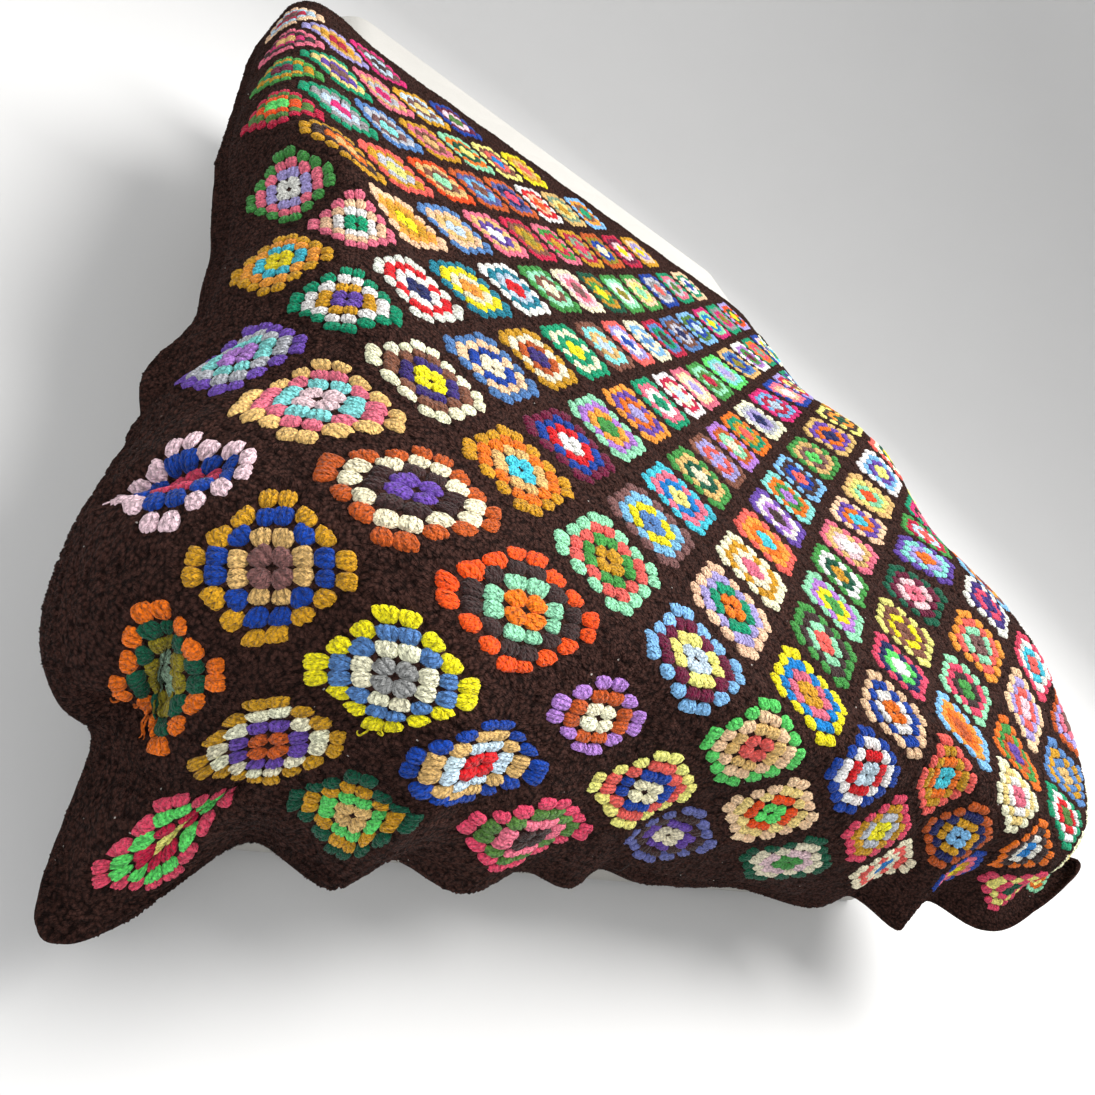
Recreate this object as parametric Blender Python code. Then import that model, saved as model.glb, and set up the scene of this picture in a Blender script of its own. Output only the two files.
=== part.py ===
"""Granny square blanket lying a little askew over the foot corner of a plain double bed.

Metres, +Z up. X runs to the right along the foot of the bed, Y towards its head, and the
origin is on the floor under the middle of everything. The blanket's own coordinates are
a (to the right) and b (towards the foot), measured on the flat cloth.
"""

import math

import bmesh
import bpy
import numpy as np

for old in list(bpy.data.objects):
    bpy.data.objects.remove(old, do_unlink=True)

# ---- the cloth as crocheted -------------------------------------------------
SQUARE = 0.130                      # side of one granny square, five rounds of 13 mm
DIAGONAL = SQUARE * math.sqrt(2)    # the squares stand on their points
ACROSS, ALONG = 9, 10               # diagonals from side to side and from end to end
EDGING = 0.033                      # crocheted rows round the half squares
CORNER_ROUND = 0.085                # how far the edging rounds the blanket's corners
CLOTH = 0.004                       # thickness of double crochet in worsted yarn

# the cloth reaches from A_LOW to A_HIGH and from B_LOW to B_HIGH
A_LOW, A_HIGH = -DIAGONAL - EDGING, (ACROSS - 1) * DIAGONAL + EDGING
B_LOW, B_HIGH = (3 - ALONG) * DIAGONAL - EDGING, 3 * DIAGONAL + EDGING

# ---- the bed ------------------------------------------------------------------
BED_TOP = 0.500                     # floor to the cloth on the mattress
BED_WIDTH, BED_LENGTH = 1.370, 1.900
MATTRESS_LEFT, MATTRESS_FOOT = -0.030, -0.200     # where its left side and foot end are
MATTRESS_DEEP = 0.215
MATTRESS_EDGE = 0.090                # roundness of its upper and lower edges
MATTRESS_CORNER = 0.090             # roundness of its corners, seen from above
FOOT_CORNER = 0.240                 # the worn corner that the cloth hangs over
OTHER_FOOT_CORNER = 0.140
UNDER_CLOTH = 0.010                  # from the cloth's middle to the mattress
BASE_INSET = 0.025
BASE_GAP = 0.0003

# Where the mattress has sunk under the falling cloth: centre (x, y), radius and depth
WORN = (
    (-0.01, 0.02, 0.13, 0.040),
    (-0.04, 0.33, 0.18, 0.020),
    (0.42, -0.15, 0.18, 0.009),
    (1.24, -0.15, 0.14, 0.030),
)

# ---- how the cloth lies and falls ------------------------------------------------
# It is turned by TWIST, and starts to fall near these three lines.
TWIST = math.radians(1.5)
LEFT_EDGE, FRONT_EDGE, RIGHT_EDGE = -0.040, -0.160, 1.365

# Swells of the bed's top: centre (x, y), radius and rise
SWELLS = (
    (0.05, 0.25, 0.20, 0.005),
    (0.35, -0.10, 0.25, 0.010),
    (0.75, 0.25, 0.30, -0.005),
    (1.20, 0.15, 0.20, 0.070),
    (0.80, 0.75, 0.35, -0.025),
    (1.25, 0.60, 0.25, 0.080),
    (0.25, 0.60, 0.30, 0.005),
    (0.75, -0.15, 0.20, 0.005),
)

# The fall, a row every 12 cm along the three lines, from the left side round the foot
# to the right side, blended between rows. Lengths are metres, angles are degrees.
#   station  along the lines, from the start of the left corner
#   leave    how far past the line the cloth starts to bend down
#   slide    how far it is pulled along the line
#   lift     how far it is pushed up
#   swing    how far the fall is turned anticlockwise, seen from above
#   bend     radius of its bend
#   slope    its slope after the bend
#   hem      its slope by the hem
#   station leave  slide   lift swing  bend slope  hem
FALLS = (
    (-0.60,  0.02,  0.01,  0.01,   -5, 0.07,   75,   80),
    (-0.48, -0.02,  0.02,  0.04,  -20, 0.06,   60,   60),
    (-0.36, -0.11,  0.06,  0.05,  -30, 0.04,   35,   60),
    (-0.24, -0.11,  0.05,  0.04,  -25, 0.06,   10,   85),
    (-0.12, -0.09,  0.00,  0.00,  -20, 0.12,   45,   80),
    ( 0.00, -0.12, -0.07, -0.04,    0, 0.19,  145,   35),
    ( 0.12, -0.10, -0.07, -0.04,    5, 0.24,  180,   15),
    ( 0.24, -0.06, -0.06,  0.00,   10, 0.12,  -25,   70),
    ( 0.36, -0.01, -0.01,  0.00,  -10, 0.03,   30,   45),
    ( 0.48,  0.01, -0.01, -0.01,    5, 0.05,   45,   45),
    ( 0.60,  0.03,  0.00, -0.01,    5, 0.07,   65,   55),
    ( 0.72,  0.03,  0.00, -0.01,   10, 0.06,   65,   65),
    ( 0.84,  0.05, -0.01, -0.01,   15, 0.05,   45,   85),
    ( 0.96,  0.02, -0.05,  0.02,   30, 0.04,   50,   65),
    ( 1.08,  0.04, -0.05,  0.01,   15, 0.09,   55,   50),
    ( 1.20,  0.04, -0.04,  0.00,    5, 0.14,   75,   30),
    ( 1.32,  0.04, -0.03, -0.02,   -5, 0.16,   75,  -30),
    ( 1.44,  0.06, -0.01, -0.03,    5, 0.15,   50,  -80),
    ( 1.56,  0.00,  0.01,  0.01,   20, 0.11,   55,  -20),
    ( 1.68, -0.06, -0.03,  0.03,   20, 0.08,   65,   45),
    ( 1.80, -0.08, -0.04,  0.02,   20, 0.07,   70,   70),
    ( 1.92, -0.02, -0.01,  0.01,    0, 0.06,   75,   85),
    ( 2.04,  0.01, -0.01, -0.03,   -5, 0.06,   75,   80),
)

# Folds of the hem: station, width and reach, where a negative reach is inwards
HEM_FOLDS = (
    (-0.27, 0.065,  0.020),
    (-0.11, 0.065,  0.050),
    (-0.05, 0.065,  0.100),
    ( 0.13, 0.065,  0.040),
    ( 0.21, 0.065,  0.060),
    ( 0.23, 0.065, -0.180),
    ( 0.36, 0.065, -0.140),
    ( 0.47, 0.065, -0.130),
    ( 0.57, 0.065, -0.080),
    ( 0.66, 0.100, -0.085),
    ( 0.80, 0.100, -0.070),
    ( 0.93, 0.100, -0.050),
    ( 1.03, 0.065, -0.080),
    ( 1.17, 0.090, -0.110),
    ( 1.28, 0.065, -0.100),
    ( 1.39, 0.065, -0.130),
    ( 1.48, 0.065, -0.130),
    ( 1.56, 0.065, -0.080),
)

STATION_STEP = 0.12                 # from one row of FALLS to the next
EDGE_ROUND = DIAGONAL               # the falling line's corners, seen from above
FULL_FALL = 1.9 * DIAGONAL          # depth at which a hem fold has its whole reach
BEND_RUN = 1.5 * DIAGONAL           # length over which a slope turns into the hem's
FADE = 0.42 * DIAGONAL              # how far on to the bed a slide or lift is felt


def weight(t):
    """Cubic blending weight of a row that is t rows away."""
    t = np.abs(t)
    return np.where(t < 1, 2 / 3 - t * t + t**3 / 2, np.where(t < 2, (2 - t) ** 3 / 6, 0))


def swell(x, y):
    """Height of the bed's soft unevenness."""
    z = 0 * x
    for cx, cy, radius, rise in SWELLS:
        z = z + rise * np.exp(-((x - cx) ** 2 + (y - cy) ** 2) / radius**2)
    return z


def wear(x, y):
    """How far the mattress has sunk along its worn side."""
    return sum(depth * np.exp(-((x - cx) ** 2 + (y - cy) ** 2) / radius**2)
               for cx, cy, radius, depth in WORN)


def drape(a, b):
    """Where the point (a, b) of the flat cloth lies, with z from the bed's top."""
    c, s = math.cos(TWIST), math.sin(TWIST)
    u, v = c * a + s * b, s * a - c * b
    on_right = u > 3.5 * DIAGONAL
    side = np.where(on_right, 1.0, -1.0)
    corner_u = np.where(on_right, RIGHT_EDGE - EDGE_ROUND, LEFT_EDGE + EDGE_ROUND)
    corner_v = FRONT_EDGE + EDGE_ROUND
    p, q = (u - corner_u) * side, corner_v - v
    wedge = (p > 0) & (q > 0)
    off_side = ~wedge & (p > q)
    # how far past the falling line, and which way is out
    far = np.hypot(p, q) + 1e-9
    past = np.where(wedge, far, np.where(off_side, p, q)) - EDGE_ROUND
    out_u = np.where(wedge, p / far * side, np.where(off_side, side, 0.0))
    out_v = np.where(wedge, -q / far, np.where(off_side, 0.0, -1.0))
    # the station along the falling line: the left side is negative, then the
    # left corner, the foot, the right corner and the right side
    arc = EDGE_ROUND * math.pi / 2
    foot = RIGHT_EDGE - LEFT_EDGE - 2 * EDGE_ROUND
    turn = EDGE_ROUND * np.arctan2(q, p)
    on_foot = arc + u - LEFT_EDGE - EDGE_ROUND
    left = np.where(wedge, turn, np.where(off_side, -(v - corner_v), on_foot))
    right = np.where(wedge, 2 * arc + foot - turn,
                     np.where(off_side, 2 * arc + foot + v - corner_v, on_foot))
    station = np.where(on_right, right, left)

    rows = np.array(FALLS)
    place = np.clip((station - rows[0, 0]) / STATION_STEP, 0, len(rows) - 1)
    rows = np.concatenate([rows[:1], rows, rows[-1:]])[:, 1:]
    blend = weight(place[..., None] - np.arange(-1, len(rows) - 1)) @ rows
    leave, slide, lift, swing, bend, slope, hem_slope = np.moveaxis(blend, -1, 0)
    swing, slope, hem_slope = (np.radians(x) for x in (swing, slope, hem_slope))
    bend = np.maximum(bend, 0.015)
    fade = np.where(past < 0, np.exp(-((past / FADE) ** 2)), 1.0)

    # the fall: round the bend, then on at a slope that turns into the hem's
    run = np.maximum(past - leave, 0)
    step = run[..., None] * (np.arange(14) + 0.5) / 14
    bent = (bend * slope)[..., None]
    angle = np.where(
        step < bent,
        step / bend[..., None],
        slope[..., None]
        + (hem_slope - slope)[..., None] * np.clip((step - bent) / BEND_RUN, 0, 1.2),
    )
    out, down = np.cos(angle).mean(-1) * run, np.sin(angle).mean(-1) * run
    flat = np.minimum(past, leave)
    wave = 0 * past
    for centre, width, reach in HEM_FOLDS:
        wave = wave + reach * np.exp(-(((station - centre) / width) ** 2))
    wave = wave * np.clip(past / FULL_FALL, 0, 1.4) ** 1.5
    swung_u = out_u * np.cos(swing) - out_v * np.sin(swing)
    swung_v = out_u * np.sin(swing) + out_v * np.cos(swing)
    line_u, line_v = u - out_u * past, v - out_v * past
    x = line_u + out_u * (flat + wave) + swung_u * out - out_v * slide * fade
    y = line_v + out_v * (flat + wave) + swung_v * out + out_u * slide * fade
    inner = np.minimum(past, 0)
    z = lift * fade - down + swell(line_u + out_u * inner, line_v + out_v * inner)
    return np.stack([x, y, z], -1)


def round_corner(x, y, low, high, radii):
    """Points of a rectangle with its corners rounded: low-low, high-low, low-high, high-high."""
    x, y = x.copy(), y.copy()
    for (sx, sy), r in zip(((-1, -1), (1, -1), (-1, 1), (1, 1)), radii):
        cx = (high[0] if sx > 0 else low[0]) - sx * r
        cy = (high[1] if sy > 0 else low[1]) - sy * r
        p, q = (x - cx) * sx, (y - cy) * sy
        inside = (p > 0) & (q > 0)
        shrink = np.maximum(p, q) / np.maximum(np.hypot(p, q), 1e-9)
        x = np.where(inside, cx + sx * p * shrink, x)
        y = np.where(inside, cy + sy * q * shrink, y)
    return x, y


def steps(*runs):
    """Values from runs of (start, end, pieces), each run starting where the last ended."""
    values = [runs[0][0]]
    for start, end, pieces in runs:
        values += [start + (end - start) * k / pieces for k in range(1, pieces + 1)]
    return np.array(values)


def material(name, colour, roughness):
    made = bpy.data.materials.new(name)
    made.use_nodes = True
    shader = made.node_tree.nodes["Principled BSDF"]
    shader.inputs["Base Color"].default_value = (*colour, 1)
    shader.inputs["Roughness"].default_value = roughness
    shader.inputs["Metallic"].default_value = 0
    return made


def new_object(name, vertices, faces, finish):
    mesh = bpy.data.meshes.new(name)
    mesh.from_pydata([tuple(v) for v in vertices], [], faces)
    mesh.validate()
    mesh.materials.append(finish)
    made = bpy.data.objects.new(name, mesh)
    bpy.context.scene.collection.objects.link(made)
    mesh.shade_smooth()
    return made


# ---- the blanket: one sheet, thickened both ways from its middle --------------------
a_lines = steps((A_LOW, 1.2 * DIAGONAL, 14), (1.2 * DIAGONAL, 5.0 * DIAGONAL, 14),
                (5.0 * DIAGONAL, 7.4 * DIAGONAL, 18), (7.4 * DIAGONAL, A_HIGH, 4))
b_lines = steps((B_HIGH, 1.0 * DIAGONAL, 12), (1.0 * DIAGONAL, -0.6 * DIAGONAL, 7),
                (-0.6 * DIAGONAL, B_LOW, 14))
grid_a, grid_b = np.meshgrid(a_lines, b_lines, indexing="ij")
round_a, round_b = round_corner(grid_a, grid_b, (A_LOW, B_LOW), (A_HIGH, B_HIGH),
                                [CORNER_ROUND] * 4)
cloth = drape(round_a, round_b)
cloth[..., 2] += BED_TOP
wide, deep = cloth.shape[:2]
cloth_points = cloth.reshape(-1, 3)
cloth_faces = []
for i in range(wide - 1):
    for j in range(deep - 1):
        k = i * deep + j
        # split each cell along its shorter diagonal
        one = np.linalg.norm(cloth_points[k] - cloth_points[k + deep + 1])
        two = np.linalg.norm(cloth_points[k + 1] - cloth_points[k + deep])
        if one < two:
            cloth_faces += [(k, k + deep + 1, k + 1), (k, k + deep, k + deep + 1)]
        else:
            cloth_faces += [(k, k + deep, k + 1), (k + 1, k + deep, k + deep + 1)]
blanket = new_object("blanket", cloth_points, cloth_faces,
                     material("brown_ground_yarn", (0.035, 0.017, 0.012), 0.9))
thicken = blanket.modifiers.new("thickness", "SOLIDIFY")
thicken.thickness = CLOTH
thicken.offset = 0


# ---- the mattress: a soft slab with the bed's unevenness on its top ------------------
def slab(name, low, high, z_low, top, edge, radii, x_lines, y_lines, finish):
    """A slab with rounded corners and edges. top(x, y) is the height of its upper face."""
    gx, gy = np.meshgrid(x_lines, y_lines, indexing="ij")
    gap = np.minimum(np.minimum(gx - low[0], high[0] - gx), np.minimum(gy - low[1], high[1] - gy))
    x, y = round_corner(gx, gy, low, high, radii)
    near = np.clip(edge - gap, 0, edge)
    drop = edge - np.sqrt(edge**2 - near**2)
    rim = np.clip((edge - gap) / edge, 0, 1)
    nx, ny = gx.shape
    upper = np.stack([x, y, top(x, y) - drop], -1).reshape(-1, 3)
    lower = np.stack([x, y, z_low + drop], -1).reshape(-1, 3)
    count = nx * ny
    faces = []
    for i in range(nx - 1):
        for j in range(ny - 1):
            k = i * ny + j
            faces.append((k, k + ny, k + ny + 1, k + 1))
            faces.append((count + k, count + k + 1, count + k + ny + 1, count + k + ny))
    ring = ([i * ny for i in range(nx)] + [(nx - 1) * ny + j for j in range(1, ny)]
            + [i * ny + ny - 1 for i in range(nx - 2, -1, -1)] + [j for j in range(ny - 2, 0, -1)])
    for k, n in zip(ring, ring[1:] + ring[:1]):
        faces.append((k, count + k, count + n, n))
    made = new_object(name, np.concatenate([upper, lower]), faces, finish)
    # one diagonal for every cell, so that the solid is the same wherever it is read
    body = bmesh.new()
    body.from_mesh(made.data)
    bmesh.ops.recalc_face_normals(body, faces=body.faces)
    bmesh.ops.triangulate(body, faces=body.faces, quad_method="SHORT_EDGE")
    body.to_mesh(made.data)
    body.free()
    return made


def lines(low, high, edge, inner):
    """Grid lines from low to high, close together over both rounded edges."""
    shares = (0.0, 0.12, 0.38, 1.0)
    return np.array([low + edge * f for f in shares]
                    + [low + edge + (high - low - 2 * edge) * k / inner for k in range(1, inner)]
                    + [high - edge * f for f in reversed(shares)])


mattress_low = (MATTRESS_LEFT, MATTRESS_FOOT)
mattress_high = (MATTRESS_LEFT + BED_WIDTH, MATTRESS_FOOT + BED_LENGTH)
mattress_base = BED_TOP - MATTRESS_DEEP
pale_ticking = material("mattress_ticking", (0.80, 0.79, 0.76), 0.85)
slab("mattress", mattress_low, mattress_high, mattress_base,
     lambda x, y: BED_TOP - UNDER_CLOTH + swell(x, y) - wear(x, y), MATTRESS_EDGE,
     (FOOT_CORNER, OTHER_FOOT_CORNER, MATTRESS_CORNER, MATTRESS_CORNER),
     lines(mattress_low[0], mattress_high[0], MATTRESS_EDGE, 11),
     lines(mattress_low[1], mattress_high[1], MATTRESS_EDGE, 14), pale_ticking)

# ---- the base: a plain upholstered box standing on the floor --------------------------
base_high = mattress_base - BASE_GAP
base_mesh = bpy.data.meshes.new("bed_base")
box = bmesh.new()
bmesh.ops.create_cube(box, size=1)
for vertex in box.verts:
    vertex.co.x = mattress_low[0] + BASE_INSET + (vertex.co.x + 0.5) * (BED_WIDTH - 2 * BASE_INSET)
    vertex.co.y = mattress_low[1] + BASE_INSET + (vertex.co.y + 0.5) * (BED_LENGTH - 2 * BASE_INSET)
    vertex.co.z = (vertex.co.z + 0.5) * base_high
box.to_mesh(base_mesh)
box.free()
base_mesh.materials.append(material("base_cloth", (0.62, 0.61, 0.59), 0.9))
base = bpy.data.objects.new("bed_base", base_mesh)
bpy.context.scene.collection.objects.link(base)
rounding = base.modifiers.new("rounding", "BEVEL")
rounding.width = 0.012
rounding.segments = 3
rounding.limit_method = "ANGLE"

# ---- the origin goes to the floor under the middle of the whole ------------------------
bpy.context.view_layer.update()
graph = bpy.context.evaluated_depsgraph_get()
reach = []
for made in bpy.context.scene.collection.objects:
    shown = made.evaluated_get(graph).to_mesh()
    reach += [v.co.copy() for v in shown.vertices]
middle = [(min(p[k] for p in reach) + max(p[k] for p in reach)) / 2 for k in (0, 1)]
for made in bpy.context.scene.collection.objects:
    for vertex in made.data.vertices:
        vertex.co.x -= middle[0]
        vertex.co.y -= middle[1]
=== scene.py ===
"""Looks of a granny square blanket that lies over the foot corner of a plain double bed.

The cloth's own coordinates are a (to the right) and b (towards the foot), in metres on the
flat cloth. Every stitch is placed through drape(a, b), the same surface as the solid's.
"""

import math

import bpy
import numpy as np
from mathutils import Matrix, Vector


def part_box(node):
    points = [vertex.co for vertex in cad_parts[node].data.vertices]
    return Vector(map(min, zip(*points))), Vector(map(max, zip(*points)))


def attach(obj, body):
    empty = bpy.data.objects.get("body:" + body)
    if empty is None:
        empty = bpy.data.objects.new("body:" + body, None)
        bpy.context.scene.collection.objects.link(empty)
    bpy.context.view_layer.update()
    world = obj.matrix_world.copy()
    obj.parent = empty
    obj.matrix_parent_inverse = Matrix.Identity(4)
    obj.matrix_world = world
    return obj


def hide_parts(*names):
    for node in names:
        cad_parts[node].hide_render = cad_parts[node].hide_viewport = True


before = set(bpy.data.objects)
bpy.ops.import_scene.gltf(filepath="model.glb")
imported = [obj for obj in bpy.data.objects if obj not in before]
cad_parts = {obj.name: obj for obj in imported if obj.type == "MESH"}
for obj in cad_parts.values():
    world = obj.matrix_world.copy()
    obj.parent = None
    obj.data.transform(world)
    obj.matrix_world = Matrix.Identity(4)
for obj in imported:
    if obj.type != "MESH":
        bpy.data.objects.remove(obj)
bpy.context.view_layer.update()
scene = bpy.context.scene
rng = np.random.default_rng(1972)

# ---- the cloth and the bed, as in the solid ---------------------------------------
SQUARE = 0.130                      # side of one granny square, five rounds of 13 mm
DIAGONAL = SQUARE * math.sqrt(2)    # the squares stand on their points
ACROSS, ALONG = 9, 10               # diagonals from side to side and from end to end
EDGING = 0.033                      # crocheted rows round the half squares
CORNER_ROUND = 0.085                # how far the edging rounds the blanket's corners
CLOTH = 0.004                       # thickness of double crochet in worsted yarn

# the cloth reaches from A_LOW to A_HIGH and from B_LOW to B_HIGH
A_LOW, A_HIGH = -DIAGONAL - EDGING, (ACROSS - 1) * DIAGONAL + EDGING
B_LOW, B_HIGH = (3 - ALONG) * DIAGONAL - EDGING, 3 * DIAGONAL + EDGING

BED_TOP = 0.500                     # floor to the cloth on the mattress
BED_WIDTH, BED_LENGTH = 1.370, 1.900
MATTRESS_LEFT, MATTRESS_FOOT = -0.030, -0.200     # where its left side and foot end are
MATTRESS_DEEP = 0.215
MATTRESS_EDGE = 0.090                # roundness of its upper and lower edges
MATTRESS_CORNER = 0.090             # roundness of its corners, seen from above
FOOT_CORNER = 0.240                 # the worn corner that the cloth hangs over
OTHER_FOOT_CORNER = 0.140
UNDER_CLOTH = 0.010                  # from the cloth's middle to the mattress
BASE_INSET = 0.025
BASE_GAP = 0.0003

# Where the mattress has sunk under the falling cloth: centre (x, y), radius and depth
WORN = (
    (-0.01, 0.02, 0.13, 0.040),
    (-0.04, 0.33, 0.18, 0.020),
    (0.42, -0.15, 0.18, 0.009),
    (1.24, -0.15, 0.14, 0.030),
)

# ---- how the cloth lies and falls ------------------------------------------------
# It is turned by TWIST, and starts to fall near these three lines.
TWIST = math.radians(1.5)
LEFT_EDGE, FRONT_EDGE, RIGHT_EDGE = -0.040, -0.160, 1.365

# Swells of the bed's top: centre (x, y), radius and rise
SWELLS = (
    (0.05, 0.25, 0.20, 0.005),
    (0.35, -0.10, 0.25, 0.010),
    (0.75, 0.25, 0.30, -0.005),
    (1.20, 0.15, 0.20, 0.070),
    (0.80, 0.75, 0.35, -0.025),
    (1.25, 0.60, 0.25, 0.080),
    (0.25, 0.60, 0.30, 0.005),
    (0.75, -0.15, 0.20, 0.005),
)

# The fall, a row every 12 cm along the three lines, from the left side round the foot
# to the right side, blended between rows. Lengths are metres, angles are degrees.
#   station  along the lines, from the start of the left corner
#   leave    how far past the line the cloth starts to bend down
#   slide    how far it is pulled along the line
#   lift     how far it is pushed up
#   swing    how far the fall is turned anticlockwise, seen from above
#   bend     radius of its bend
#   slope    its slope after the bend
#   hem      its slope by the hem
#   station leave  slide   lift swing  bend slope  hem
FALLS = (
    (-0.60,  0.02,  0.01,  0.01,   -5, 0.07,   75,   80),
    (-0.48, -0.02,  0.02,  0.04,  -20, 0.06,   60,   60),
    (-0.36, -0.11,  0.06,  0.05,  -30, 0.04,   35,   60),
    (-0.24, -0.11,  0.05,  0.04,  -25, 0.06,   10,   85),
    (-0.12, -0.09,  0.00,  0.00,  -20, 0.12,   45,   80),
    ( 0.00, -0.12, -0.07, -0.04,    0, 0.19,  145,   35),
    ( 0.12, -0.10, -0.07, -0.04,    5, 0.24,  180,   15),
    ( 0.24, -0.06, -0.06,  0.00,   10, 0.12,  -25,   70),
    ( 0.36, -0.01, -0.01,  0.00,  -10, 0.03,   30,   45),
    ( 0.48,  0.01, -0.01, -0.01,    5, 0.05,   45,   45),
    ( 0.60,  0.03,  0.00, -0.01,    5, 0.07,   65,   55),
    ( 0.72,  0.03,  0.00, -0.01,   10, 0.06,   65,   65),
    ( 0.84,  0.05, -0.01, -0.01,   15, 0.05,   45,   85),
    ( 0.96,  0.02, -0.05,  0.02,   30, 0.04,   50,   65),
    ( 1.08,  0.04, -0.05,  0.01,   15, 0.09,   55,   50),
    ( 1.20,  0.04, -0.04,  0.00,    5, 0.14,   75,   30),
    ( 1.32,  0.04, -0.03, -0.02,   -5, 0.16,   75,  -30),
    ( 1.44,  0.06, -0.01, -0.03,    5, 0.15,   50,  -80),
    ( 1.56,  0.00,  0.01,  0.01,   20, 0.11,   55,  -20),
    ( 1.68, -0.06, -0.03,  0.03,   20, 0.08,   65,   45),
    ( 1.80, -0.08, -0.04,  0.02,   20, 0.07,   70,   70),
    ( 1.92, -0.02, -0.01,  0.01,    0, 0.06,   75,   85),
    ( 2.04,  0.01, -0.01, -0.03,   -5, 0.06,   75,   80),
)

# Folds of the hem: station, width and reach, where a negative reach is inwards
HEM_FOLDS = (
    (-0.27, 0.065,  0.020),
    (-0.11, 0.065,  0.050),
    (-0.05, 0.065,  0.100),
    ( 0.13, 0.065,  0.040),
    ( 0.21, 0.065,  0.060),
    ( 0.23, 0.065, -0.180),
    ( 0.36, 0.065, -0.140),
    ( 0.47, 0.065, -0.130),
    ( 0.57, 0.065, -0.080),
    ( 0.66, 0.100, -0.085),
    ( 0.80, 0.100, -0.070),
    ( 0.93, 0.100, -0.050),
    ( 1.03, 0.065, -0.080),
    ( 1.17, 0.090, -0.110),
    ( 1.28, 0.065, -0.100),
    ( 1.39, 0.065, -0.130),
    ( 1.48, 0.065, -0.130),
    ( 1.56, 0.065, -0.080),
)

STATION_STEP = 0.12                 # from one row of FALLS to the next
EDGE_ROUND = DIAGONAL               # the falling line's corners, seen from above
FULL_FALL = 1.9 * DIAGONAL          # depth at which a hem fold has its whole reach
BEND_RUN = 1.5 * DIAGONAL           # length over which a slope turns into the hem's
FADE = 0.42 * DIAGONAL              # how far on to the bed a slide or lift is felt

def weight(t):
    """Cubic blending weight of a row that is t rows away."""
    t = np.abs(t)
    return np.where(t < 1, 2 / 3 - t * t + t**3 / 2, np.where(t < 2, (2 - t) ** 3 / 6, 0))


def swell(x, y):
    """Height of the bed's soft unevenness."""
    z = 0 * x
    for cx, cy, radius, rise in SWELLS:
        z = z + rise * np.exp(-((x - cx) ** 2 + (y - cy) ** 2) / radius**2)
    return z


def wear(x, y):
    """How far the mattress has sunk along its worn side."""
    return sum(depth * np.exp(-((x - cx) ** 2 + (y - cy) ** 2) / radius**2)
               for cx, cy, radius, depth in WORN)


def drape(a, b):
    """Where the point (a, b) of the flat cloth lies, with z from the bed's top."""
    c, s = math.cos(TWIST), math.sin(TWIST)
    u, v = c * a + s * b, s * a - c * b
    on_right = u > 3.5 * DIAGONAL
    side = np.where(on_right, 1.0, -1.0)
    corner_u = np.where(on_right, RIGHT_EDGE - EDGE_ROUND, LEFT_EDGE + EDGE_ROUND)
    corner_v = FRONT_EDGE + EDGE_ROUND
    p, q = (u - corner_u) * side, corner_v - v
    wedge = (p > 0) & (q > 0)
    off_side = ~wedge & (p > q)
    # how far past the falling line, and which way is out
    far = np.hypot(p, q) + 1e-9
    past = np.where(wedge, far, np.where(off_side, p, q)) - EDGE_ROUND
    out_u = np.where(wedge, p / far * side, np.where(off_side, side, 0.0))
    out_v = np.where(wedge, -q / far, np.where(off_side, 0.0, -1.0))
    # the station along the falling line: the left side is negative, then the
    # left corner, the foot, the right corner and the right side
    arc = EDGE_ROUND * math.pi / 2
    foot = RIGHT_EDGE - LEFT_EDGE - 2 * EDGE_ROUND
    turn = EDGE_ROUND * np.arctan2(q, p)
    on_foot = arc + u - LEFT_EDGE - EDGE_ROUND
    left = np.where(wedge, turn, np.where(off_side, -(v - corner_v), on_foot))
    right = np.where(wedge, 2 * arc + foot - turn,
                     np.where(off_side, 2 * arc + foot + v - corner_v, on_foot))
    station = np.where(on_right, right, left)

    rows = np.array(FALLS)
    place = np.clip((station - rows[0, 0]) / STATION_STEP, 0, len(rows) - 1)
    rows = np.concatenate([rows[:1], rows, rows[-1:]])[:, 1:]
    blend = weight(place[..., None] - np.arange(-1, len(rows) - 1)) @ rows
    leave, slide, lift, swing, bend, slope, hem_slope = np.moveaxis(blend, -1, 0)
    swing, slope, hem_slope = (np.radians(x) for x in (swing, slope, hem_slope))
    bend = np.maximum(bend, 0.015)
    fade = np.where(past < 0, np.exp(-((past / FADE) ** 2)), 1.0)

    # the fall: round the bend, then on at a slope that turns into the hem's
    run = np.maximum(past - leave, 0)
    step = run[..., None] * (np.arange(14) + 0.5) / 14
    bent = (bend * slope)[..., None]
    angle = np.where(
        step < bent,
        step / bend[..., None],
        slope[..., None]
        + (hem_slope - slope)[..., None] * np.clip((step - bent) / BEND_RUN, 0, 1.2),
    )
    out, down = np.cos(angle).mean(-1) * run, np.sin(angle).mean(-1) * run
    flat = np.minimum(past, leave)
    wave = 0 * past
    for centre, width, reach in HEM_FOLDS:
        wave = wave + reach * np.exp(-(((station - centre) / width) ** 2))
    wave = wave * np.clip(past / FULL_FALL, 0, 1.4) ** 1.5
    swung_u = out_u * np.cos(swing) - out_v * np.sin(swing)
    swung_v = out_u * np.sin(swing) + out_v * np.cos(swing)
    line_u, line_v = u - out_u * past, v - out_v * past
    x = line_u + out_u * (flat + wave) + swung_u * out - out_v * slide * fade
    y = line_v + out_v * (flat + wave) + swung_v * out + out_u * slide * fade
    inner = np.minimum(past, 0)
    z = lift * fade - down + swell(line_u + out_u * inner, line_v + out_v * inner)
    return np.stack([x, y, z], -1)


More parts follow.
